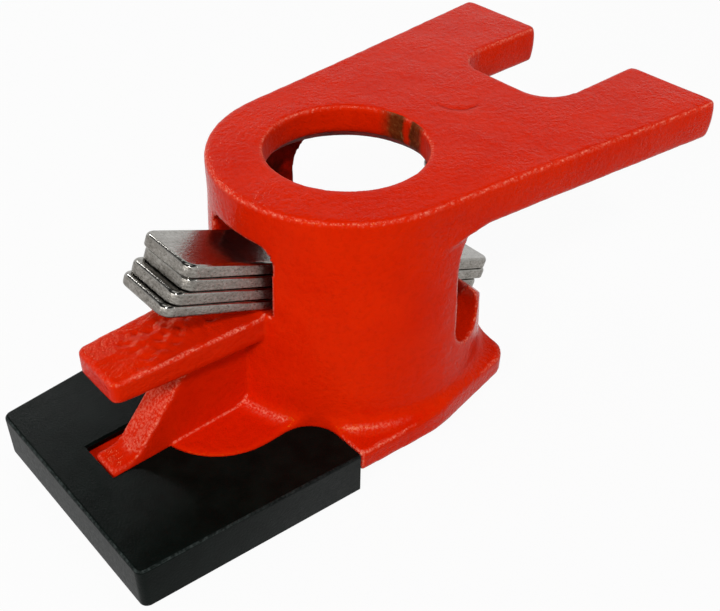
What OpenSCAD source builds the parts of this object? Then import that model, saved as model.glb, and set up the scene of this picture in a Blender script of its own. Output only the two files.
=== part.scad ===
// Sliding tail stop of an H-style pipe clamp. The pipe runs along Z through an iron casting whose
// jaw reaches toward -X and whose forked foot reaches toward +X. Four tilted plates grip the pipe,
// a coil spring under the foot holds them tilted, and pressing their tongues down frees the pipe.
// The origin is on the pipe's axis at the underside of the base.

/* [Pipe] */
// Outside diameter of the pipe that the stop rides on
pipe_d = 26.67; // [25:0.01:28.5]
// Room between the pipe and the casting's bores, on the radius
bore_room = 0.665; // [0.3:0.005:0.9]
// Room between the pipe and the holes of the clutch plates, on the radius
plate_room = 0.55; // [0.3:0.05:0.9]

/* [Clutch plates] */
// Thickness of one plate
plate_t = 2.15; // [1.5:0.05:2.6]
// Gap between two plates in the stack
plate_gap = 0.13; // [0.1:0.01:0.4]
// Width of the ring of steel round the pipe hole
ring_w = 3.5; // [3:0.1:4]
// Width of the tongue that the thumb presses
tongue_w = 12.8; // [10:0.2:14]
// Length of the tongue in front of the sill, at the middle of the stack
tongue_out = 17.7; // [13:0.1:20]
// Width of the tail under the spring
tail_w = 17.6; // [14:0.2:20]
// Length of the tail behind the rear face, at the middle of the stack
tail_out = 7.6; // [7:0.1:12]
// How far each plate lies behind the middle of the stack, from the top plate down
plate_shift = [2.55, 2.1, -0.5, -2.55]; // [-2.6:0.05:2.6]
// Corner radius of the tongue and the tail
plate_corner_r = 2; // [0.5:0.25:3]
// Tilt at which a plate's hole stands centred on the pipe
grip_tilt = 8; // [4:0.5:11]
// Room between the lowest plate and the edges that it rests on
rest_room = 0.2; // [0.1:0.05:0.4]

/* [Body] */
// Height from the underside of the base to the top of the foot plate
body_h = 45.3; // [43:0.1:50]
// Room between the plates' rings and the cavity wall
cavity_room = 3.1; // [2.8:0.1:4]
// Thickness of the wall round the cavity
body_wall = 3.25; // [2.5:0.05:5]
// Growth of the body's radius from the foot plate down to the base
body_flare = 1.6; // [0.5:0.1:2]
// Fillet between the body and the base
base_fillet_r = 3.2; // [2:0.1:4]
// Fillet between the body and the foot plate's underside
foot_fillet_r = 3; // [1.5:0.1:4]
// Height of the front window, from the finger rest up to the foot plate
window_h = 12.6; // [11:0.1:15]
// Distance from the body's face in to the sill's edge
sill_set = 0.55; // [0.3:0.05:1.5]
// Room between the front window and the sides of the tongues
window_room = 1.6; // [1:0.1:2.5]
// Corner radius at the top of the front window
window_corner_r = 3; // [1:0.25:4]
// Thickness of the floor that the lower bore goes through
floor_t = 6.8; // [5.5:0.1:8]
// Distance from the pipe's axis to the flat rear face
rear_x = 20.6; // [20:0.1:22]
// Room between the rear notch and the sides of the tails
notch_room = 0.75; // [0.5:0.05:1.2]
// Height of the two rear posts
post_top = 19.5; // [18.5:0.1:21]
// Height that the posts' tops fall toward the cavity
post_in_fall = 4; // [1:0.1:6]
// Height that the posts' tops fall toward the rear face
post_rear_fall = 6.5; // [2:0.1:8]
// Place of the front edge of the side openings, behind the pipe's axis
jamb_x = 4.2; // [3:0.1:6]
// Radius where that edge runs into the foot plate
jamb_r = 8; // [3:0.25:9]
// Width of the slot between that edge and a rear post
slot_w = 9.4; // [9:0.1:10.5]
// Height of the bottom of that slot
slot_z = 13.4; // [11:0.1:14]
// Corner radius at the bottom of that slot
slot_corner_r = 4.4; // [2:0.1:4.5]

/* [Foot plate] */
// Thickness of the foot plate
foot_t = 7.3; // [6:0.1:8]
// Distance from the pipe's axis to the ends of the tines
foot_reach = 63; // [56:0.5:70]
// Angle that each side of the foot plate spreads by
foot_spread = 6.9; // [3:0.1:9]
// Depth that the straight sides cut into the round end
foot_lap = 0.05; // [0.02:0.01:0.3]
// Width of the fork between the tines
fork_w = 23.4; // [20:0.2:26]
// Distance from the pipe's axis to the bottom of the fork
fork_x = 38.5; // [36:0.5:42]
// Corner radius at the bottom of the fork
fork_corner_r = 6.5; // [3:0.5:9]
// Corner radius at the ends of the tines
tine_corner_r = 1.5; // [1:0.25:4]
// Height and width of the cast bevel under the upper bore
bore_relief = 2.5; // [1:0.1:3]

/* [Finger rest] */
// Distance from the pipe's axis to the front of the finger rest
rest_reach = 51.2; // [46:0.2:54]
// Width of the finger rest at its front
rest_tip_w = 11.2; // [9:0.2:13]
// Width of the finger rest where it meets the body
rest_root_w = 14; // [12:0.2:16]
// Thickness of the finger rest at its front
rest_tip_t = 4.7; // [3.5:0.1:6]
// Thickness of the finger rest where it meets the body
rest_t = 6.9; // [6:0.1:8]
// Corner radius at the front of the finger rest, seen from above
rest_corner_r = 1.7; // [0.5:0.1:4]
// Radius of the rounded lower edges of the finger rest
rest_edge_r = 3; // [1:0.1:3.2]
// Thickness of the web under the finger rest
web_t = 6; // [4:0.2:8]
// Distance from the pipe's axis to the top of the web's sloping front edge
web_top_x = 36.3; // [32:0.1:40]
// Distance from the pipe's axis to the foot of that edge
web_foot_x = 48.4; // [47:0.1:50]
// Distance from the pipe's axis to the toe of the web
web_toe_x = 52.6; // [52:0.1:54]
// Height of the toe
web_toe_z = 4.9; // [3:0.1:5.5]
// Radius between the sloping edge and the toe
web_foot_r = 4; // [2:0.25:5]

/* [Base and jaw] */
// Thickness of the base
base_t = 4.3; // [3.8:0.1:5]
// Distance from the pipe's axis to the front of the cap
jaw_reach = 59.9; // [57:0.1:66]
// Width of the cap at its front
jaw_tip_w = 44.4; // [42:0.2:48]
// Angle that each side of the jaw spreads by
jaw_spread = 5.14; // [3:0.1:6]
// Distance from the pipe's axis forward to the base's widest place
base_wide_x = 1.5; // [0:0.1:4]
// Width of the base at its rear face
base_rear_w = 47.4; // [46:0.2:50]
// Corner radius at the rear of the base
base_rear_r = 4.5; // [2:0.25:6]
// Distance from the pipe's axis to the round front of the raised land by the web
land_x = 42; // [39:0.2:45]
// Width of that land
land_w = 26.3; // [22:0.2:30]
// Corner radius where the land widens to the base
land_root_r = 6.5; // [3:0.5:8]
// Distance from the pipe's axis to the shoulder that the cap stops against
shoulder_x = 18.6; // [16:0.1:21]
// Depth that the jaw face stands below the base
jaw_drop = 2; // [1:0.1:3]

/* [Jaw cap] */
// Thickness of the cap's front and side walls
cap_wall = 2; // [1.2:0.1:3]
// Thickness of the cap's top sheet
cap_sheet_t = 1.7; // [1:0.1:2]
// Thickness of the cap's sole
cap_sole_t = 2.2; // [1.2:0.1:3]
// Room between the cap and the jaw
cap_room = 0.25; // [0.1:0.05:0.4]
// Depth of the cap's top below the top of the base
cap_set = 0.15; // [0:0.05:0.4]
// Width of the slot that lets the web through
cap_slot_w = 9.4; // [8:0.2:12]
// Distance that the slot lies off the centre line
cap_slot_shift = 1.5; // [0:0.1:1.5]
// Corner radius at the front of the cap
cap_corner_r = 1.5; // [0.5:0.25:3]

/* [Clutch spring] */
// Place of the spring's axis behind the pipe's axis
spring_x = 25; // [24.5:0.1:26]
// Radius of the coil at the middle of the wire
spring_r = 3.6; // [3:0.1:4]
// Diameter of the wire
wire_d = 1.2; // [0.8:0.1:1.2]
// Number of curls
curls = 7; // [5:1:7]
// Room between the spring and its two seats
spring_room = 0.25; // [0.15:0.05:0.4]
// Depth of the spring's pocket in the foot plate
pocket_depth = 3; // [2:0.1:4]
// Room between the spring and the pocket's wall
pocket_room = 0.5; // [0.3:0.1:1]

/* [Hidden] */
$fn = 96;

iron_red = [0.80, 0.15, 0.07];
zinc_grey = [0.72, 0.72, 0.70];
spring_grey = [0.45, 0.45, 0.44];
cap_black = [0.10, 0.11, 0.10];

// Overshoot of a cut past the face that it opens
over = 1;
// Half a width that is wider than anything in the part
wide = 2 * body_h;
corner_steps = 10;

// Heights
foot_z = body_h - foot_t;
sill_z = foot_z - window_h;
jaw_face_z = -jaw_drop;
cap_top = base_t - cap_set;
jaw_top = cap_top - cap_sheet_t - cap_room;
cap_floor = jaw_face_z - cap_room;
cap_bottom = cap_floor - cap_sole_t;

// Radii from the pipe outward
bore_r = pipe_d / 2 + bore_room;
hole_r = pipe_d / 2 + plate_room;
ring_r = hole_r + ring_w;
cavity_r = ring_r + cavity_room;
body_r = cavity_r + body_wall;
wall_r = (cavity_r + body_r) / 2;
// Radius of the flared wall at the height of the rear posts
post_r = body_r + body_flare * (foot_z - post_top) / (foot_z - base_t);

// The lowest plate lies on the sill's edge in front and on the floor's edge behind
plates = 4;
sill_x = body_r - sill_set;
plate_tilt = atan((sill_z - floor_t) / (rear_x + sill_x));
plate_pitch = (plate_t + plate_gap) / cos(plate_tilt);
plate_run = (rear_x + sill_x) / cos(plate_tilt);
hole_u = sill_x / cos(grip_tilt);
function pivot_z(k) = sill_z + rest_room + (plates - k) * plate_pitch;
function stack_top(x) = pivot_z(1) + plate_t / cos(plate_tilt) - (x + sill_x) * tan(plate_tilt);

// Half widths of the tapered outlines at a place along X
function jaw_half(x) = jaw_tip_w / 2 + (x + jaw_reach) * tan(jaw_spread);
function foot_half(x) = (body_r - foot_lap) / cos(foot_spread) + x * tan(foot_spread);
function rest_half(x) =
    rest_tip_w / 2 + (rest_root_w - rest_tip_w) / 2 * (x + rest_reach) / (rest_reach - body_r);

function unit(v) = v / norm(v);

// The arc that rounds corner q, between its neighbours p and s
function corner(p, q, s, r) =
    let (u = unit(p - q), v = unit(s - q), half = acos(u * v) / 2,
         c = q + unit(u + v) * r / sin(half),
         a = q + u * r / tan(half) - c, b = q + v * r / tan(half) - c,
         a0 = atan2(a[1], a[0]), turn = atan2(a[0] * b[1] - a[1] * b[0], a * b))
    arc(c, r, a0, a0 + turn);

// An outline whose corners are rounded by the radii given, where 0 leaves a corner sharp
function rounded(pts, radii) =
    let (n = len(pts))
    [for (i = [0:n - 1]) each radii[i] == 0 ? [pts[i]]
        : corner(pts[(i + n - 1) % n], pts[i], pts[(i + 1) % n], radii[i])];

function arc(c, r, a0, a1) =
    [for (i = [0:corner_steps]) let (a = a0 + (a1 - a0) * i / corner_steps) c + r * [cos(a), sin(a)]];

// The points of one side of an outline, followed by the same points across the X axis
function both_sides(half) = concat(half, [for (i = [len(half) - 1:-1:0]) [half[i][0], -half[i][1]]]);
function both_radii(half) = concat(half, [for (i = [len(half) - 1:-1:0]) half[i]]);

// A profile drawn in X and Z, extruded to both sides of the XZ plane
module across(width) {
    rotate([90, 0, 0]) linear_extrude(width, center = true) children();
}

// A profile drawn in Y and Z, extruded from x0 to x1
module along(x0, x1) {
    translate([x0, 0, 0]) rotate([90, 0, 90]) linear_extrude(x1 - x0) children();
}

module foot_outline() {
    touch_x = -body_r * sin(foot_spread);
    circle(r = body_r);
    polygon(rounded(
        both_sides([[touch_x, foot_half(touch_x)], [foot_reach, foot_half(foot_reach)],
                    [foot_reach, fork_w / 2], [fork_x, fork_w / 2]]),
        both_radii([0, tine_corner_r, tine_corner_r, fork_corner_r])));
}

module base_outline() {
    polygon(rounded(
        both_sides([[-jaw_reach, jaw_half(-jaw_reach)], [-base_wide_x, jaw_half(-base_wide_x)],
                    [rear_x, base_rear_w / 2]]),
        both_radii([0, body_r, base_rear_r])));
}

// The full-height part of the base: a round-ended land by the web that widens at the cap's shoulder
module land_outline(grow) {
    half = land_w / 2 + grow;
    shoulder = -shoulder_x - grow;
    side = concat(arc([land_w / 2 - land_x, 0], half, 179, 90), [[shoulder, half]]);
    last = len(side) - 1;
    polygon(rounded(
        both_sides(concat(side, [[shoulder, wide], [wide, wide]])),
        both_radii([for (i = [0:last + 2]) i == last ? land_root_r - grow : 0])));
}

module raised_outline() {
    intersection() {
        base_outline();
        land_outline(0);
    }
}

module jaw_outline(inset) {
    front = -jaw_reach + inset;
    polygon(both_sides([[front, jaw_half(front) - inset], [-shoulder_x, jaw_half(-shoulder_x) - inset]]));
}

module foot_plate() {
    translate([0, 0, foot_z]) linear_extrude(foot_t) foot_outline();
    intersection() {
        rotate_extrude() polygon(concat(
            [[wall_r, foot_z + over], [wall_r, foot_z - foot_fillet_r]],
            arc([body_r + foot_fillet_r, foot_z - foot_fillet_r], foot_fillet_r, 180, 90),
            [[body_r + foot_fillet_r, foot_z + over]]));
        linear_extrude(body_h) foot_outline();
    }
}

module body_barrel() {
    low_r = body_r + body_flare;
    intersection() {
        rotate_extrude() polygon(concat(
            [[0, 0], [0, foot_z + over], [body_r, foot_z + over], [body_r, foot_z]],
            arc([low_r + base_fillet_r, base_t + base_fillet_r], base_fillet_r, 180, 270),
            [[low_r + base_fillet_r, 0]]));
        linear_extrude(body_h) raised_outline();
    }
}

module base_and_jaw() {
    linear_extrude(base_t) raised_outline();
    translate([0, 0, jaw_face_z]) linear_extrude(jaw_top - jaw_face_z) jaw_outline(cap_wall + cap_room);
}

// A flat-topped shelf whose rounded underside rises toward the front
module finger_rest() {
    half = rest_root_w / 2;
    run = rest_reach - body_r;
    intersection() {
        linear_extrude(sill_z) polygon(rounded(
            both_sides([[-rest_reach, rest_half(-rest_reach)], [-body_r, rest_half(-body_r)],
                        [-bore_r, rest_half(-body_r)]]),
            both_radii([rest_corner_r, 0, 0])));
        translate([-body_r, 0, sill_z - rest_t]) rotate([0, atan((rest_t - rest_tip_t) / run), 0])
            along(-rest_reach, body_r) polygon(rounded(
                [[-half, 0], [half, 0], [half, 2 * rest_t], [-half, 2 * rest_t]],
                [rest_edge_r, rest_edge_r, 0, 0]));
    }
}

module web() {
    under = sill_z - rest_t / 2;
    slope = (under - web_toe_z) / (web_foot_x - web_top_x);
    across(web_t) polygon(rounded(
        [[-bore_r - over, under], [-web_top_x + rest_t / 2 / slope, under], [-web_foot_x, web_toe_z],
         [-web_toe_x, web_toe_z], [-web_toe_x, jaw_top / 2], [-bore_r - over, jaw_top / 2]],
        [0, 0, web_foot_r, 0, 0, 0]));
}

module pipe_ways() {
    cylinder(h = 3 * floor_t, r = bore_r, center = true);
    translate([0, 0, floor_t]) cylinder(h = foot_z - floor_t, r = cavity_r);
    translate([0, 0, foot_z - over]) cylinder(h = foot_t + 2 * over, r = bore_r);
    translate([0, 0, foot_z]) cylinder(h = bore_relief, r1 = bore_r + bore_relief, r2 = bore_r);
}

module front_window() {
    half = tongue_w / 2 + window_room;
    ramp_drop = (sill_x - bore_r) * tan(plate_tilt + 3);
    along(-body_r - over, -bore_r) polygon(rounded(
        [[-half, sill_z], [half, sill_z], [half, foot_z], [-half, foot_z]],
        [0, 0, window_corner_r, window_corner_r]));
    across(2 * half) polygon([[-sill_x, sill_z], [-bore_r, sill_z], [-bore_r, sill_z - ramp_drop]]);
}

// Everything behind the jambs and above the rear posts, whose tops fall inward, outward and rearward
module rear_opening() {
    crest_r = (post_r + cavity_r) / 2;
    round_r = post_r - crest_r;
    crest_x = jamb_x + slot_w;
    fall = post_rear_fall / (rear_x - crest_x);
    intersection() {
        across(2 * wide) polygon(rounded(
            [[jamb_x, 0], [wide, 0], [wide, foot_z], [jamb_x, foot_z]], [0, 0, 0, jamb_r]));
        rotate_extrude() polygon(concat(
            [[0, foot_z], [0, post_top - post_in_fall], [cavity_r, post_top - post_in_fall]],
            arc([crest_r, post_top - round_r], round_r, 90, 0),
            [[2 * wide, post_top - round_r], [2 * wide, foot_z]]));
    }
    across(2 * wide) polygon([[crest_x, post_top], [rear_x + over, post_top],
                              [rear_x + over, post_top - post_rear_fall - fall * over]]);
}

module side_slots() {
    across(2 * wide) polygon(rounded(
        [[jamb_x, slot_z], [jamb_x + slot_w, slot_z], [jamb_x + slot_w, post_top], [jamb_x, post_top]],
        [slot_corner_r, slot_corner_r, 0, 0]));
}

module rear_notch() {
    half = tail_w / 2 + notch_room;
    translate([bore_r / 2, -half, floor_t]) cube([wide, 2 * half, post_top - floor_t]);
}

module spring_pocket() {
    translate([spring_x, 0, foot_z - over])
        cylinder(h = pocket_depth + over, r = spring_r + wire_d / 2 + pocket_room);
}

module casting() {
    color(iron_red) difference() {
        union() {
            foot_plate();
            body_barrel();
            base_and_jaw();
            finger_rest();
            web();
        }
        pipe_ways();
        front_window();
        rear_opening();
        side_slots();
        rear_notch();
        spring_pocket();
    }
}

// A plate's outline along the plate: tongue in front of the pivot, ring round the hole, tail behind
module plate_outline() {
    neck = plate_corner_r;
    tongue = tongue_w / 2;
    tail = tail_w / 2;
    ring_from = 180 - asin((tongue + neck) / ring_r);
    ring_to = asin((tail + neck) / ring_r);
    ring = arc([hole_u, 0], ring_r, ring_from, ring_to);
    ring_end = len(ring) - 1;
    sharp = [for (i = [0:ring_end]) 0];
    polygon(rounded(
        both_sides(concat([[-tongue_out, tongue], [ring[0][0] - neck, tongue]], ring,
                          [[ring[ring_end][0] + neck, tail], [plate_run + tail_out, tail]])),
        both_radii(concat([plate_corner_r, neck], sharp, [neck, plate_corner_r]))));
}

module clutch_plate(k) {
    color(zinc_grey) translate([-sill_x, 0, pivot_z(k)]) rotate([0, plate_tilt, 0])
        translate([plate_shift[k - 1], 0, 0]) difference() {
            linear_extrude(plate_t) plate_outline();
            translate([hole_u, 0, -over]) cylinder(h = plate_t + 2 * over, r = hole_r);
        }
}

// The coil's wire: rings of points along a helix whose foot lies on the tilted tail
curl_rings = 8;
wire_sides = 6;
rings = curls * curl_rings;
coil_top = foot_z + pocket_depth - spring_room - wire_d / 2;
function coil_foot(x) = stack_top(x) + (spring_room + wire_d / 2) / cos(plate_tilt);
function coil_out(i) = [cos(360 * i / curl_rings), sin(360 * i / curl_rings), 0];
function coil_point(i) =
    let (flat = [spring_x, 0, 0] + spring_r * coil_out(i))
    [flat[0], flat[1], coil_top + (coil_foot(flat[0]) - coil_top) * i / rings];
function wire_ring(i) =
    let (c = coil_point(i), t = unit(coil_point(i + 0.5) - coil_point(i - 0.5)),
         side = unit(cross(t, coil_out(i))), out = cross(side, t))
    [for (j = [0:wire_sides - 1]) c + wire_d / 2 * (cos(60 * j) * out + sin(60 * j) * side)];
coil_gap = min([for (i = [0:rings]) for (j = [i + curl_rings - 3:rings])
    norm(coil_point(i) - coil_point(j))]) - wire_d;
echo(str("clutch_spring least gap to itself: ", coil_gap, " mm"));  // clutch_spring

module clutch_spring() {
    points = [for (i = [0:rings]) each wire_ring(i)];
    last = rings * wire_sides;
    color(spring_grey) polyhedron(points, concat(
        [for (i = [0:rings - 1]) for (j = [0:wire_sides - 1])
            let (a = i * wire_sides + j, b = i * wire_sides + (j + 1) % wire_sides)
            each [[a, a + wire_sides, b], [b, a + wire_sides, b + wire_sides]]],
        [for (j = [1:wire_sides - 2]) [0, j, j + 1]],
        [for (j = [1:wire_sides - 2]) [last, last + j + 1, last + j]]));
}

// The cap slips on from the front; its top sheet is cut away round the land and the web
module jaw_cap() {
    cap_rear = shoulder_x + cap_room;
    color(cap_black) difference() {
        translate([0, 0, cap_bottom]) linear_extrude(cap_top - cap_bottom) polygon(rounded(
            both_sides([[-jaw_reach, jaw_half(-jaw_reach)], [-cap_rear, jaw_half(-cap_rear)]]),
            both_radii([cap_corner_r, 0])));
        translate([0, 0, cap_floor]) linear_extrude(jaw_top + cap_room - cap_floor) jaw_outline(cap_wall);
        translate([0, 0, jaw_top]) linear_extrude(cap_sheet_t + 2 * over) {
            land_outline(cap_room);
            translate([-web_toe_x - cap_room, cap_slot_shift - cap_slot_w / 2])
                square([web_toe_x - shoulder_x, cap_slot_w]);
        }
    }
}

casting();
clutch_plate(1);  // clutch_plate_1
clutch_plate(2);  // clutch_plate_2
clutch_plate(3);  // clutch_plate_3
clutch_plate(4);  // clutch_plate_4
clutch_spring();
jaw_cap();
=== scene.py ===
import math

import bmesh
import bpy
from mathutils import Matrix, Vector, noise
from mathutils.bvhtree import BVHTree


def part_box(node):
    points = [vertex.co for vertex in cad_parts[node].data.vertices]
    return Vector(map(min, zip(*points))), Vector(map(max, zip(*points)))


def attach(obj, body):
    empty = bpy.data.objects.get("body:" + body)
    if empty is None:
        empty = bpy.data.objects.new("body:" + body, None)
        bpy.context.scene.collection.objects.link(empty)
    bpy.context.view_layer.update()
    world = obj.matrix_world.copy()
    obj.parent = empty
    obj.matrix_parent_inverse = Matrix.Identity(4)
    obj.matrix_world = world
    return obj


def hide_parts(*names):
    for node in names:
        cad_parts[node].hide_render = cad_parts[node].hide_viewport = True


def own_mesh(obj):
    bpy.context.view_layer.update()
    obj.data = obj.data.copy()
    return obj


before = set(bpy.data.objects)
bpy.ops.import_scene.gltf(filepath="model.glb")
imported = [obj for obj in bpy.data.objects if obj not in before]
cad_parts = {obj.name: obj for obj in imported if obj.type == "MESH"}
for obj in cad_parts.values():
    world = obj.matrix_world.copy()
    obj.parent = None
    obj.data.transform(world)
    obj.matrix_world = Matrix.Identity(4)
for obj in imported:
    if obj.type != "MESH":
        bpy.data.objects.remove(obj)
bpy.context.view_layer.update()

# The casting is grey iron, poured in sand as one piece from the forked foot to the jaw. It is
# fettled, then sprayed with red enamel that sets in a fine orange peel. Its hollow inside gets
# painted shade, and the pipe has rubbed two strips of the upper bore bare.
FETTLED_EDGE = 0.0006
POST_FOOT, POST_HEAD, POST_REACH = 0.0060, 0.0378, 0.0270
SKIN_DEPTH, SKIN_SCALE = 8, 0.90
FOOT_TOP, FOOT_THICKNESS, FOOT_EDGE = 0.0453, 0.0073, 0.0012
EDGE_PASSES, FOOT_EDGE_PASSES = 2, 1
SHARP_ANGLE = 0.6


def cad_copy(node):
    """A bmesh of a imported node, with the loose corners of its triangles merged."""
    bm = bmesh.new()
    bm.from_mesh(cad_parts[node].data)
    bmesh.ops.remove_doubles(bm, verts=bm.verts, dist=1e-6)
    return bm


def flat_faces(bm):
    """Joins the triangles of each flat face."""
    bmesh.ops.dissolve_limit(bm, angle_limit=math.radians(0.4), verts=bm.verts, edges=bm.edges)


def sharp_edges(bm):
    return [e for e in bm.edges if len(e.link_faces) == 2 and e.calc_face_angle() > SHARP_ANGLE]


def middle_of(edge):
    return (edge.verts[0].co + edge.verts[1].co) / 2


def round_edges(bm, edges, radius, segments):
    bmesh.ops.bevel(bm, geom=edges, offset=radius, offset_type="OFFSET", affect="EDGES",
                    segments=segments, profile=0.5, material=-1, clamp_overlap=False)


def new_piece(name, bm, node, body):
    """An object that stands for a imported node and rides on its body."""
    piece = bpy.data.objects.new(name, bpy.data.meshes.new(name))
    bm.to_mesh(piece.data)
    bm.free()
    bpy.context.scene.collection.objects.link(piece)
    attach(piece, body)
    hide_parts(node)
    return piece


def crowded(edge):
    """True for the short edges round the window, the slots and the rear posts."""
    middle = middle_of(edge)
    return POST_FOOT < middle.z < POST_HEAD and middle.xy.length < POST_REACH


bm = cad_copy("casting")
flat_faces(bm)
sharp_solid = BVHTree.FromBMesh(bm)
round_edges(bm, [e for e in sharp_edges(bm) if e.is_convex and not crowded(e)], FETTLED_EDGE, 3)
# What the rounding throws out at the ends of these edges goes back to the solid's face
for vert in bm.verts:
    face_point, _, _, off_face = sharp_solid.find_nearest(vert.co)
    if off_face > 0.5 * FETTLED_EDGE:
        vert.co = face_point
casting = new_piece("red_casting", bm, "casting", "casting")
sand_skin = casting.modifiers.new("sand_skin", "REMESH")
sand_skin.mode = "SHARP"
sand_skin.octree_depth = SKIN_DEPTH
sand_skin.scale = SKIN_SCALE
sand_skin.use_remove_disconnected = False
casting.data = bpy.data.meshes.new_from_object(
    casting.evaluated_get(bpy.context.evaluated_depsgraph_get()))
casting.modifiers.clear()
bm = bmesh.new()
bm.from_mesh(casting.data)
foot_edge = [v for v in bm.verts if v.co.z > FOOT_TOP - FOOT_EDGE]
for verts, passes in ((bm.verts, EDGE_PASSES), (foot_edge, FOOT_EDGE_PASSES)):
    for _ in range(passes):
        bmesh.ops.smooth_vert(bm, verts=verts, factor=0.5,
                              use_axis_x=True, use_axis_y=True, use_axis_z=True)
bm.normal_update()

# Painted highlights lie along the edges, over some wear of the enamel there, in a band along the
# low fillets and on the web's leading face. The cap keeps the jaw from wear.
EDGE_BEND, EDGE_BEND_SPAN = 500.0, 300.0
REST_TOP, REST_UNDERSIDE = 0.0254, 0.0184
REST_END, REST_END_SHARE = -0.0480, 0.35
JAW_BACK, WEB_FOOT = -0.0240, 0.0045
WEB_BACK, WEB_LEAN, WEB_SHARE = -0.0300, -0.6, 0.45
FILLET_TOP, FILLET_LEAN, FILLET_BACK, FILLET_FADE = 0.0120, 0.25, -0.0060, 0.0100
FILLET_BEND, FILLET_BEND_SPAN, CREASE_BEND = 60.0, 60.0, 300.0
FILLET_LINE, FILLET_LINE_WIDTH, FILLET_SHARE = 0.77, 0.10, 0.85
FILLET_PASSES = 3


def bend(vert):
    """How sharply the skin turns at a vertex, in 1/m: above 0 over an edge, below 0 in a fillet."""
    turns = []
    for edge in vert.link_edges:
        step = vert.co - edge.other_vert(vert).co
        turns.append(2.0 * step.dot(vert.normal) / max(step.length_squared, 1e-12))
    return sum(turns) / len(turns)


def evened(values):
    """The mean of each vertex's value and its neighbours' values."""
    means = []
    for vert in bm.verts:
        around = [values[edge.other_vert(vert).index] for edge in vert.link_edges]
        means.append((values[vert.index] + sum(around)) / (1 + len(around)))
    return means


bm.verts.index_update()
turns = [bend(vert) for vert in bm.verts]
soft_turns = [max(-CREASE_BEND, min(CREASE_BEND, turn)) for turn in turns]
for _ in range(FILLET_PASSES):
    soft_turns = evened(soft_turns)
# Each vertex's share of painted highlight: edges (over some wear), the fillet band and the web's
# leading face
edge_highlight_and_wear = []
for vert, turn, soft_turn in zip(bm.verts, turns, soft_turns):
    x, _, z = vert.co
    highlight_and_wear_share = min(1.0, (turn - EDGE_BEND) / EDGE_BEND_SPAN)
    if x < JAW_BACK and z < WEB_FOOT:
        highlight_and_wear_share = 0.0
    if x < REST_END and z > WEB_FOOT:
        highlight_and_wear_share *= REST_END_SHARE
    if z < FILLET_TOP and vert.normal.z > FILLET_LEAN:
        ahead = max(0.0, min(1.0, (FILLET_BACK - x) / FILLET_FADE))
        line = math.exp(-((vert.normal.z - FILLET_LINE) / FILLET_LINE_WIDTH) ** 2)
        soft = FILLET_SHARE * line * min(1.0, (-soft_turn - FILLET_BEND) / FILLET_BEND_SPAN)
        crease = min(1.0, (-turn - EDGE_BEND) / EDGE_BEND_SPAN)
        highlight_and_wear_share = max(highlight_and_wear_share, ahead * max(soft, crease))
    if x < WEB_BACK and WEB_FOOT < z < REST_UNDERSIDE and vert.normal.x < WEB_LEAN:
        highlight_and_wear_share = max(highlight_and_wear_share, WEB_SHARE)
    edge_highlight_and_wear.append(max(0.0, highlight_and_wear_share))

# The sand leaves the skin a little uneven. The finger rest is pitted, and its near half falls away
# from the seam along its middle. A faint arc shows over the spring's pocket, and the foot plate's
# sides are fullest at the parting line, half way up.
SAND_SWELLS = ((0.00004, 240.0), (0.00003, 640.0))
REST_FRONT, REST_BACK, REST_HALF, REST_SKIN = -0.0512, -0.0238, 0.0078, 0.0030
SEAM_Y, SEAM_WIDTH, SEAM_HEIGHT, SEAM_GRAIN, SEAM_BODY = 0.0005, 0.0007, 0.00016, 900.0, 0.6
NEAR_HALF_DROP = 0.00050
PITS_FRONT, PITS_BACK, PITS_HALF = -0.0460, -0.0290, 0.0062
PIT_DEPTH, PIT_GRAIN, PIT_START = 0.00170, 820.0, 0.12
MARK_CENTRE, MARK_SIDE = Vector((0.0265, 0.0)), Vector((-0.67, -0.74))
MARK_RADIUS, MARK_WIDTH, MARK_DEPTH, MARK_SKIN = 0.0042, 0.0006, 0.00018, 0.0006
FOOT_END, FOOT_ROOT_HALF, FOOT_SPREAD = 0.0630, 0.02386, math.tan(math.radians(6.9))
FORK_HALF, FORK_ROOT = 0.0117, 0.0450
PARTING_FALL, PARTING_SKIN, PARTING_START = 0.00035, 0.0016, 0.0200

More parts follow.
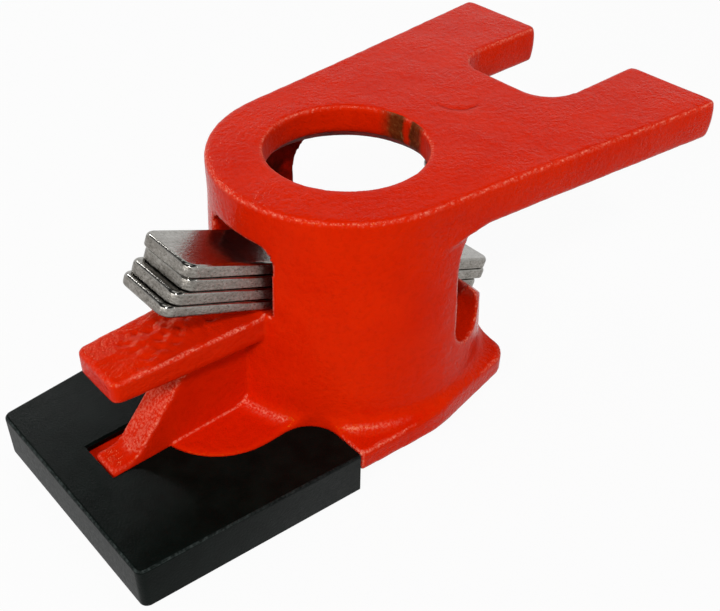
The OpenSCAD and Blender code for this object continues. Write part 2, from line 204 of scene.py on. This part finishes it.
for vert in bm.verts:
    x, y, z = vert.co
    swell = sum(height * noise.noise(vert.co * scale) for height, scale in SAND_SWELLS)
    if REST_FRONT < x < REST_BACK and abs(y) < REST_HALF and z > REST_TOP - REST_SKIN:
        share = (z - REST_TOP + REST_SKIN) / REST_SKIN
        near_half = max(0.0, SEAM_Y - y) / REST_HALF
        ridge = math.exp(-((y - SEAM_Y) / SEAM_WIDTH) ** 2)
        seam = ridge * (SEAM_BODY + noise.noise(vert.co * SEAM_GRAIN))
        inner = max(0.0, 1.0 - (y / PITS_HALF) ** 2) if PITS_FRONT < x < PITS_BACK else 0.0
        pit = inner * max(0.0, noise.noise(vert.co * PIT_GRAIN) - PIT_START)
        vert.co.z -= share * (NEAR_HALF_DROP * near_half - SEAM_HEIGHT * seam + PIT_DEPTH * pit)
    if z > FOOT_TOP - MARK_SKIN:
        from_mark = Vector((x, y)) - MARK_CENTRE
        arc = max(0.0, from_mark.dot(MARK_SIDE) / MARK_RADIUS)
        swell -= MARK_DEPTH * arc * math.exp(-((from_mark.length - MARK_RADIUS) / MARK_WIDTH) ** 2)
    vert.co += vert.normal * swell
    if z > FOOT_TOP - FOOT_THICKNESS and x > 0.0:
        rise = (z - FOOT_TOP + FOOT_THICKNESS / 2) / (FOOT_THICKNESS / 2)
        fall = PARTING_FALL * min(1.0, rise * rise) * min(1.0, x / PARTING_START)
        from_end = FOOT_END - x
        from_side = FOOT_ROOT_HALF + FOOT_SPREAD * x - abs(y)
        from_fork = abs(y) - FORK_HALF if x > FORK_ROOT else PARTING_SKIN
        side = math.copysign(1.0, y)
        vert.co.x -= fall * max(0.0, 1.0 - from_end / PARTING_SKIN)
        vert.co.y -= side * fall * max(0.0, 1.0 - from_side / PARTING_SKIN)
        vert.co.y += side * fall * max(0.0, 1.0 - from_fork / PARTING_SKIN)
bm.to_mesh(casting.data)
bm.free()
# The attribute carries the painted highlights and the edge wear
casting.data.attributes.new("edge_highlight_and_wear", "FLOAT", "POINT").data.foreach_set("value", edge_highlight_and_wear)
casting.data.shade_smooth()

# The enamel's red, with painted highlights over some wear along its edges, painted highlights in
# the low fillets and on the web's face, painted shade in the arc's dent and inside the hollow, and
# the brown iron of the two rubbed strips.
RED_DEEP, RED_LIGHT = (0.62, 0.0110, 0.0002), (0.69, 0.0160, 0.0004)
HIGHLIGHT_PINK, DENT_SHADE_RED = (0.88, 0.26, 0.17), (0.30, 0.0020, 0.0002)
HOLLOW_SHADE_DARK, HOLLOW_SHADE_RED = (0.090, 0.002, 0.0006), (0.38, 0.005, 0.0008)
IRON_DARK, IRON_BROWN = (0.018, 0.009, 0.002), (0.080, 0.034, 0.008)
IRON_PALE = (0.24, 0.14, 0.05)
PEEL_DEPTH = 0.00025
BORE_REACH, BORE_FLOOR = 0.0145, 0.0401
HOLLOW_RADIUS, HOLLOW_FLOOR, HOLLOW_ROOF = 0.0207, 0.0050, 0.0402
STRIPS_START = 0.42


def new_finish(name):
    """A material, with its tree, its shader and the Object coordinates that its patterns read."""
    finish = bpy.data.materials.new(name)
    finish.use_nodes = True
    tree = finish.node_tree
    place = tree.nodes.new("ShaderNodeTexCoord").outputs["Object"]
    return finish, tree, tree.nodes["Principled BSDF"], place


def add_node(tree, kind, inputs, **settings):
    """A shader node whose inputs are values or other nodes' sockets."""
    node = tree.nodes.new("ShaderNode" + kind)
    for key, value in settings.items():
        setattr(node, key, value)
    for key, value in inputs.items():
        if isinstance(value, bpy.types.NodeSocket):
            tree.links.new(value, node.inputs[key])
        else:
            node.inputs[key].default_value = value
    return node


def grain(tree, place, scale, detail=2.0, roughness=0.5):
    """Noise of about 1 / scale metres."""
    return add_node(tree, "TexNoise", {"Vector": place, "Scale": scale, "Detail": detail,
                                       "Roughness": roughness}).outputs["Fac"]


def ramp(tree, factor, stops):
    """A colour ramp through (place, colour) stops."""
    node = add_node(tree, "ValToRGB", {"Fac": factor})
    band = node.color_ramp
    while len(band.elements) < len(stops):
        band.elements.new(0.5)
    for element, (where, colour) in zip(band.elements, stops):
        element.position = where
        element.color = (*colour, 1.0)
    return node.outputs["Color"]


def grey(level):
    return (level, level, level)


def math_node(tree, operation, first, second=0.0, third=0.0):
    return add_node(tree, "Math", {0: first, 1: second, 2: third}, operation=operation).outputs[0]


def mix_colour(tree, factor, first, second, blend="MIX"):
    node = add_node(tree, "Mix", {"Factor": factor}, data_type="RGBA", blend_type=blend)
    for key, value in ((6, first), (7, second)):
        if isinstance(value, bpy.types.NodeSocket):
            tree.links.new(value, node.inputs[key])
        else:
            node.inputs[key].default_value = (*value, 1.0)
    return node.outputs[2]


def attribute(tree, name):
    """The value that the piece's own mesh holds under a name."""
    return add_node(tree, "Attribute", {}, attribute_name=name).outputs["Fac"]


red_enamel, tree, shader, place = new_finish("red_enamel")
pebble = math_node(tree, "MULTIPLY_ADD", grain(tree, place, 2800.0, 2.0), 0.35,
                   math_node(tree, "MULTIPLY", grain(tree, place, 1100.0, 2.0), 0.65))
patches = ramp(tree, grain(tree, place, 110.0, 2.0), [(0.38, grey(0.45)), (0.60, grey(1.0))])
sprayed = ramp(tree, grain(tree, place, 90.0, 4.0, 0.6), [(0.30, RED_DEEP), (0.70, RED_LIGHT)])
# Painted shade in the pits of the orange peel, darker where the bump sinks
peel_shade = ramp(tree, pebble, [(0.36, grey(0.91)), (0.50, grey(0.98)), (0.64, grey(1.0))])
coat = mix_colour(tree, 1.0, sprayed, peel_shade, "MULTIPLY")

# Painted shade along the near side of the arc's dent
centred = add_node(tree, "VectorMath", {0: place, 1: (*MARK_CENTRE, FOOT_TOP)},
                   operation="SUBTRACT").outputs[0]
off_centre = add_node(tree, "VectorMath", {0: centred}, operation="LENGTH").outputs["Value"]
off_line = math_node(tree, "ABSOLUTE", math_node(tree, "SUBTRACT", off_centre, MARK_RADIUS))
mark_line = ramp(tree, math_node(tree, "MULTIPLY", off_line, 1000.0),
                 [(0.12, grey(1.0)), (0.40, grey(0.0))])
towards = add_node(tree, "VectorMath", {0: centred, 1: (*MARK_SIDE, 0.0)},
                   operation="DOT_PRODUCT").outputs["Value"]
mark_arc = ramp(tree, math_node(tree, "MULTIPLY", towards, 1.0 / MARK_RADIUS),
                [(0.30, grey(0.0)), (0.75, grey(0.55))])
dent_shaded = mix_colour(tree, math_node(tree, "MULTIPLY", mark_line, mark_arc), coat, DENT_SHADE_RED)

# Painted highlights, over some wear along the edges, broken up by the grain
broken = ramp(tree, grain(tree, place, 2300.0, 3.0, 0.6), [(0.42, grey(0.03)), (0.66, grey(0.9))])
painted_highlight = math_node(tree, "MULTIPLY", attribute(tree, "edge_highlight_and_wear"), broken)
coat_and_painted_light = mix_colour(tree, painted_highlight, dent_shaded, HIGHLIGHT_PINK)

# Painted shade inside the hollow
along, across, height = add_node(tree, "SeparateXYZ", {"Vector": place}).outputs
from_axis = math_node(tree, "SQRT", math_node(
    tree, "ADD", math_node(tree, "MULTIPLY", along, along),
    math_node(tree, "MULTIPLY", across, across)))
between = math_node(tree, "MULTIPLY", math_node(tree, "LESS_THAN", height, HOLLOW_ROOF),
                    math_node(tree, "GREATER_THAN", height, HOLLOW_FLOOR))
in_hollow = math_node(tree, "MULTIPLY", between,
                      math_node(tree, "LESS_THAN", from_axis, HOLLOW_RADIUS))
hollow_shade = ramp(tree, grain(tree, place, 300.0, 4.0, 0.65),
                  [(0.35, HOLLOW_SHADE_DARK), (0.65, HOLLOW_SHADE_RED)])
coat_and_hollow_shade = mix_colour(tree, in_hollow, coat_and_painted_light, hollow_shade)

# The two strips that the pipe has rubbed bare in the upper bore
round_bore = math_node(tree, "ARCTAN2", across, along)
ragged = math_node(tree, "MULTIPLY_ADD", grain(tree, place, 500.0, 4.0, 0.7), 0.16, round_bore)
strips = ramp(tree, math_node(tree, "ADD", ragged, STRIPS_START), [
    (0.14, grey(0.0)), (0.26, grey(0.8)), (0.42, grey(0.9)), (0.47, grey(0.1)),
    (0.53, grey(0.1)), (0.58, grey(0.9)), (0.74, grey(0.85)), (0.94, grey(0.0))])
in_bore = math_node(tree, "MULTIPLY", math_node(tree, "LESS_THAN", from_axis, BORE_REACH),
                    math_node(tree, "GREATER_THAN", height, BORE_FLOOR))
rubbed = math_node(tree, "MULTIPLY", strips, in_bore)
bare_iron = ramp(tree, grain(tree, place, 1100.0, 4.0, 0.7),
                 [(0.35, IRON_DARK), (0.60, IRON_BROWN), (0.80, IRON_PALE)])
tree.links.new(mix_colour(tree, rubbed, coat_and_hollow_shade, bare_iron), shader.inputs["Base Color"])

gloss = math_node(tree, "MULTIPLY_ADD", grain(tree, place, 420.0, 3.0), 0.14, 0.12)
unpolished = math_node(tree, "MAXIMUM", in_bore, in_hollow)
tree.links.new(math_node(tree, "MULTIPLY_ADD", unpolished, 0.40, gloss),
               shader.inputs["Roughness"])
orange_peel = add_node(tree, "Bump", {"Height": math_node(tree, "MULTIPLY", pebble, patches),
                                      "Strength": 1.0, "Distance": PEEL_DEPTH})
tree.links.new(orange_peel.outputs["Normal"], shader.inputs["Normal"])
shader.inputs["Specular IOR Level"].default_value = 0.045
shader.inputs["Specular Tint"].default_value = (1.0, 1.0, 0.05, 1.0)
casting.data.materials.append(red_enamel)

# The four clutch plates are blanked from thick strip steel, then barrelled and bright zinc plated.
# The die draws and burnishes their top rims, shears their sides and leaves their lower rims sharp.
# They lie loose in the casting, on each other.
PLATE_TILT = math.radians(23.016)
DRAWN_RIM, SHEARED_RIM, LOWEST_RIM = 0.00070, 0.00022, 0.00065
SIDE_LEAN, RIM_LEAN = 0.35, 0.95
FACE, SIDE, RIM = 0, 1, 2
LEVEL_SLACK = 0.00001


def shade_by_face(piece, finish):
    """Smooth shading that keeps the flat faces flat."""
    piece.data.materials.append(finish)
    piece.data.shade_smooth()
    piece.modifiers.new("flat_faces", "WEIGHTED_NORMAL").weight = 60


def edges_at(bm, level):
    """The sharp edges that lie at one height."""
    return [e for e in sharp_edges(bm) if all(abs(v.co.z - level) < LEVEL_SLACK for v in e.verts)]


def zinc(name, dark, middle, light, smooth, spread, depth):
    """Bright zinc, clouded, with the marks of the blanking and the barrel in it."""
    finish, tree, shader, place = new_finish(name)
    level = add_node(tree, "Mapping", {"Vector": place,
                                       "Rotation": (0.0, -PLATE_TILT, 0.0)}).outputs[0]
    drawn = add_node(tree, "Mapping", {"Vector": level, "Scale": (0.6, 0.6, 1.0)}).outputs[0]
    marks = grain(tree, drawn, 2600.0, 4.0, 0.65)
    clouds = math_node(tree, "MULTIPLY_ADD", grain(tree, place, 240.0, 3.0, 0.6), 0.3,
                       math_node(tree, "MULTIPLY", marks, 0.7))
    tree.links.new(ramp(tree, clouds, [(0.34, dark), (0.52, middle), (0.66, light)]),
                   shader.inputs["Base Color"])
    tree.links.new(math_node(tree, "MULTIPLY_ADD", marks, spread, smooth),
                   shader.inputs["Roughness"])
    tumbled = add_node(tree, "Bump", {"Height": marks, "Strength": 0.6, "Distance": depth})
    tree.links.new(tumbled.outputs["Normal"], shader.inputs["Normal"])
    shader.inputs["Metallic"].default_value = 1.0
    return finish


bright_zinc = zinc("bright_zinc", (0.18, 0.17, 0.150), (0.31, 0.30, 0.278), (0.38, 0.37, 0.345),
                   smooth=0.07, spread=0.24, depth=0.00006)
sheared_zinc = zinc("sheared_zinc", (0.120, 0.110, 0.094), (0.250, 0.232, 0.208),
                    (0.40, 0.38, 0.35), smooth=0.14, spread=0.34, depth=0.00016)
drawn_zinc = zinc("drawn_zinc", (0.20, 0.19, 0.172), (0.27, 0.26, 0.240), (0.34, 0.33, 0.305),
                  smooth=0.05, spread=0.10, depth=0.00002)

for node in ("clutch_plate_1", "clutch_plate_2", "clutch_plate_3", "clutch_plate_4"):
    bm = cad_copy(node)
    # The plate is levelled while its rims are rounded
    bmesh.ops.rotate(bm, verts=bm.verts, cent=(0, 0, 0),
                     matrix=Matrix.Rotation(-PLATE_TILT, 3, "Y"))
    flat_faces(bm)
    heights = [v.co.z for v in bm.verts]
    lower_rim = LOWEST_RIM if node == "clutch_plate_4" else SHEARED_RIM
    round_edges(bm, edges_at(bm, max(heights)), DRAWN_RIM, 4)
    round_edges(bm, edges_at(bm, min(heights)), lower_rim, 3)
    bm.normal_update()
    for face in bm.faces:
        lean = abs(face.normal.z)
        face.material_index = SIDE if lean < SIDE_LEAN else RIM if lean < RIM_LEAN else FACE
    bmesh.ops.rotate(bm, verts=bm.verts, cent=(0, 0, 0),
                     matrix=Matrix.Rotation(PLATE_TILT, 3, "Y"))
    plate = new_piece("zinc_" + node, bm, node, node)
    shade_by_face(plate, bright_zinc)
    plate.data.materials.append(sheared_zinc)
    plate.data.materials.append(drawn_zinc)

# The clutch spring is coiled from hard-drawn wire. It stands in a pocket under the foot plate and
# presses on the top plate's tail, so its foot lies at the tail's slant.
COIL_X, COIL_RADIUS = 0.025, 0.0036
WIRE_RADIUS, WIRE_SIDES = 0.0006, 12
COIL_TOP, COIL_FOOT = 0.04015, 0.01582
CURLS, CURL_STEPS = 7, 28

bm = bmesh.new()
bmesh.ops.create_circle(bm, segments=WIRE_SIDES, radius=WIRE_RADIUS)
bmesh.ops.rotate(bm, verts=bm.verts, cent=(0, 0, 0), matrix=Matrix.Rotation(math.pi / 2, 3, "X"))
bmesh.ops.translate(bm, verts=bm.verts, vec=(COIL_X + COIL_RADIUS, 0.0, COIL_TOP))
drop = (COIL_FOOT - COIL_TOP) / (CURLS * CURL_STEPS)
bmesh.ops.spin(bm, geom=bm.verts[:] + bm.edges[:], cent=(COIL_X, 0.0, 0.0), axis=(0, 0, 1),
               dvec=(0.0, 0.0, drop), angle=CURLS * 2 * math.pi, steps=CURLS * CURL_STEPS,
               use_merge=False)
bmesh.ops.holes_fill(bm, edges=[e for e in bm.edges if e.is_boundary], sides=0)
bmesh.ops.recalc_face_normals(bm, faces=bm.faces)
for vert in bm.verts:
    share = (COIL_TOP - vert.co.z) / (COIL_TOP - COIL_FOOT)
    vert.co.z -= max(0.0, min(1.0, share)) * (vert.co.x - COIL_X) * math.tan(PLATE_TILT)
coil = new_piece("coiled_spring", bm, "clutch_spring", "casting")
coil.data.shade_smooth()

drawn_wire, tree, shader, place = new_finish("drawn_wire")
tree.links.new(ramp(tree, grain(tree, place, 900.0, 3.0),
                    [(0.35, grey(0.20)), (0.65, grey(0.36))]), shader.inputs["Base Color"])
tree.links.new(math_node(tree, "MULTIPLY_ADD", grain(tree, place, 2500.0), 0.2, 0.26),
               shader.inputs["Roughness"])
shader.inputs["Metallic"].default_value = 1.0
coil.data.materials.append(drawn_wire)
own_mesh(coil)

# The jaw cap is a moulded black plastic shoe that slips over the jaw from the front, so the work
# isn't marked. Its top is cut away round the web and the land behind it. The rim round its top
# carries a painted highlight, broken up like scuffs, over some scuffing from use.
CAP_LOW, CAP_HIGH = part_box("jaw_cap")
CAP_FRONT, CAP_FRONT_HALF, CAP_SPREAD = -0.0599, 0.0222, math.tan(math.radians(5.14))
OUTSIDE_REACH = 0.0012
TOP_EDGE, SOLE_EDGE = 0.00060, 0.00030
RIM_LOW, RIM_HIGH = 0.40, 0.93
BLACK, WORN_BLACK = (0.0012, 0.0028, 0.0021), (0.0026, 0.0050, 0.0040)
RIM_HIGHLIGHT = (0.034, 0.042, 0.040)
MOULD_DEPTH = 0.00007


def on_outside(edge):
    """True for an edge on the cap's front or sides, and not round its cut-outs."""
    middle = middle_of(edge)
    half = CAP_FRONT_HALF + (middle.x - CAP_FRONT) * CAP_SPREAD
    return min(middle.x - CAP_LOW.x, half - abs(middle.y)) < OUTSIDE_REACH


bm = cad_copy("jaw_cap")
flat_faces(bm)
for level, radius, segments in ((CAP_HIGH.z, TOP_EDGE, 4), (CAP_LOW.z, SOLE_EDGE, 3)):
    outer_rim = [e for e in edges_at(bm, level) if on_outside(e)]
    round_edges(bm, outer_rim, radius, segments)
bm.normal_update()
# The rim faces round the top carry the painted highlight and the scuffs
rim_highlight_and_scuffs = [float(RIM_LOW < face.normal.z < RIM_HIGH) for face in bm.faces]
cap = new_piece("black_jaw_cap", bm, "jaw_cap", "jaw_cap")
rim_values = cap.data.attributes.new("rim_highlight_and_scuffs", "FLOAT", "FACE")
rim_values.data.foreach_set("value", rim_highlight_and_scuffs)

black_plastic, tree, shader, place = new_finish("black_plastic")
moulding = ramp(tree, grain(tree, place, 300.0, 3.0), [(0.35, BLACK), (0.65, WORN_BLACK)])
scuffs = ramp(tree, grain(tree, place, 1500.0, 3.0, 0.6), [(0.40, grey(0.1)), (0.65, grey(1.0))])
# Painted highlight on the top rim, broken up by the scuffs
rim_highlight = math_node(tree, "MULTIPLY", attribute(tree, "rim_highlight_and_scuffs"), scuffs)
tree.links.new(mix_colour(tree, rim_highlight, moulding, RIM_HIGHLIGHT), shader.inputs["Base Color"])
tree.links.new(math_node(tree, "MULTIPLY_ADD", grain(tree, place, 1200.0, 3.0), 0.18, 0.28),
               shader.inputs["Roughness"])
moulded = add_node(tree, "Bump", {"Height": grain(tree, place, 2600.0, 2.0), "Strength": 0.5,
                                  "Distance": MOULD_DEPTH})
tree.links.new(moulded.outputs["Normal"], shader.inputs["Normal"])
shader.inputs["Specular IOR Level"].default_value = 0.042
shade_by_face(cap, black_plastic)

# The floor is a pale sheet under the cap's sole. Seen directly or in a reflection it is nearly
# white, and it still takes the part's shadow. White walls stand round it, under a dark ceiling.
FLOOR_HALF, FLOOR_GAP = 2.5, 0.00002
PALE, WHITENED = (0.60, 0.60, 0.60, 1.0), 0.945
WALL_TOP, CEILING = 0.52, 0.70
WALL_LIGHT, DARK_CEILING = 0.56, 0.05

bm = bmesh.new()
bmesh.ops.create_grid(bm, x_segments=1, y_segments=1, size=FLOOR_HALF,
                      matrix=Matrix.Translation((0.0, 0.0, CAP_LOW.z - FLOOR_GAP)))
floor = bpy.data.objects.new("floor", bpy.data.meshes.new("floor"))
bm.to_mesh(floor.data)
bm.free()
bpy.context.scene.collection.objects.link(floor)


def seen_rays(tree):
    """1 for camera, glossy and transmission rays, which see the backdrop, and 0 for the rest."""
    rays = add_node(tree, "LightPath", {}).outputs
    mirrored = math_node(tree, "MAXIMUM", rays["Is Glossy Ray"], rays["Is Transmission Ray"])
    return math_node(tree, "MAXIMUM", rays["Is Camera Ray"], mirrored)


pale_sheet, tree, shader, _ = new_finish("pale_sheet")
shader.inputs["Base Color"].default_value = PALE
shader.inputs["Roughness"].default_value = 0.9
shader.inputs["Specular IOR Level"].default_value = 0.0
white = add_node(tree, "Emission", {"Color": (1.0, 1.0, 1.0, 1.0), "Strength": 1.0})
whiten = add_node(tree, "MixShader", {0: math_node(tree, "MULTIPLY", seen_rays(tree), WHITENED),
                                      1: shader.outputs[0], 2: white.outputs[0]})
tree.links.new(whiten.outputs[0], tree.nodes["Material Output"].inputs["Surface"])
floor.data.materials.append(pale_sheet)

world = bpy.data.worlds.new("studio")
bpy.context.scene.world = world
world.use_nodes = True
tree = world.node_tree
sky = tree.nodes["Background"]
direction = tree.nodes.new("ShaderNodeTexCoord").outputs["Generated"]
up = add_node(tree, "SeparateXYZ", {"Vector": direction}).outputs[2]
walls = ramp(tree, up, [(0.0, grey(1.0)), (WALL_TOP, grey(1.0)), (CEILING, grey(DARK_CEILING))])
tree.links.new(walls, sky.inputs["Color"])
tree.links.new(math_node(tree, "MULTIPLY_ADD", seen_rays(tree), 1.0 - WALL_LIGHT, WALL_LIGHT),
               sky.inputs["Strength"])

# The lamps are soft boxes: one to the left of the camera, two small ones over it and to its right
# that draw the bright lines on the edges, a wide one straight overhead, and one low behind that
# shines on the cap's left corner.
AIM = Vector((0.0, 0.0, 0.02))


def soft_box(name, place, size, power):
    """A square lamp that is turned towards the part."""
    lamp = bpy.data.lights.new(name, "AREA")
    lamp.shape = "SQUARE"
    lamp.size = size
    lamp.energy = power
    box = bpy.data.objects.new(name, lamp)
    box.location = place
    box.rotation_euler = (AIM - Vector(place)).to_track_quat("-Z", "Y").to_euler()
    bpy.context.scene.collection.objects.link(box)


soft_box("left_box", place=(-0.58, -0.19, 0.37), size=0.16, power=1.5)
soft_box("over_box", place=(-0.25, -0.36, 0.55), size=0.08, power=1.9)
soft_box("right_box", place=(0.38, -0.36, 0.32), size=0.05, power=0.09)
soft_box("top_box", place=(0.08, 0.02, 0.76), size=0.45, power=0.75)
soft_box("back_box", place=(0.082, 0.466, 0.370), size=0.10, power=0.62)

# The camera stands where the photograph was taken from, close above the jaw's left corner.
CAMERA_PLACE = (-0.096315, -0.109955, 0.127330)
CAMERA_TURN = (51.4878, -0.9287, -41.5705)
FOCAL_LENGTH, SENSOR_WIDTH = 49.416, 36.0

lens = bpy.data.cameras.new("camera")
lens.lens = FOCAL_LENGTH
lens.sensor_width = SENSOR_WIDTH
lens.clip_start = 0.005
camera = bpy.data.objects.new("camera", lens)
camera.location = CAMERA_PLACE
camera.rotation_euler = [math.radians(angle) for angle in CAMERA_TURN]
bpy.context.scene.collection.objects.link(camera)
bpy.context.scene.camera = camera
bpy.context.scene.view_settings.view_transform = "Standard"
